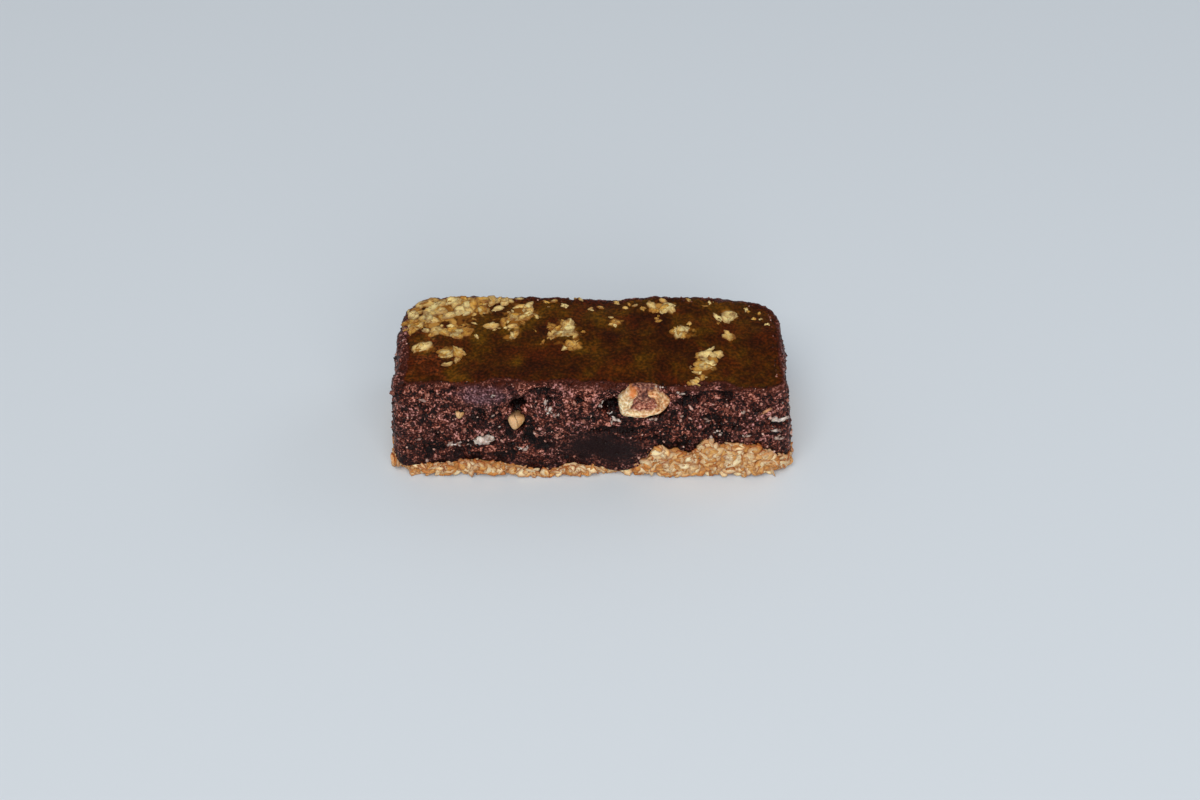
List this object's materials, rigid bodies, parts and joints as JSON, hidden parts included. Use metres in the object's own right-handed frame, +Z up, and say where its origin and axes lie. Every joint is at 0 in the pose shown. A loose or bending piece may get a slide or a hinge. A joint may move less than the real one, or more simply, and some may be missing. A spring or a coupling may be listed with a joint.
{
  "type": "oat bar",
  "caption": "Date and cocoa slab pressed onto a rolled-oat base, with oats on its smooth top and nut and oat pieces in its cut side.",
  "frame": {"origin": "middle of the underside that the bar rests on", "axes": "+X along the bar's length, +Z up through its layers, -Y towards the cut long side that shows them"},
  "size_m": [0.1, 0.038, 0.0297],
  "materials": {
    "date_cocoa": "dark moist date and cocoa paste with a glossy skin on top",
    "rolled_oats": "golden pressed rolled oats with a syrup sheen",
    "nut": "broken roasted nut",
    "pale_oat": "pale oat flakes"
  },
  "bodies": {
    "root": {"date_cocoa_body": "date_cocoa", "oat_base": "rolled_oats", "nut_chunk": "nut", "hazelnut_piece": "nut", "pale_oat_piece": "pale_oat", "end_oat_piece": "pale_oat"}
  },
  "joints": []
}
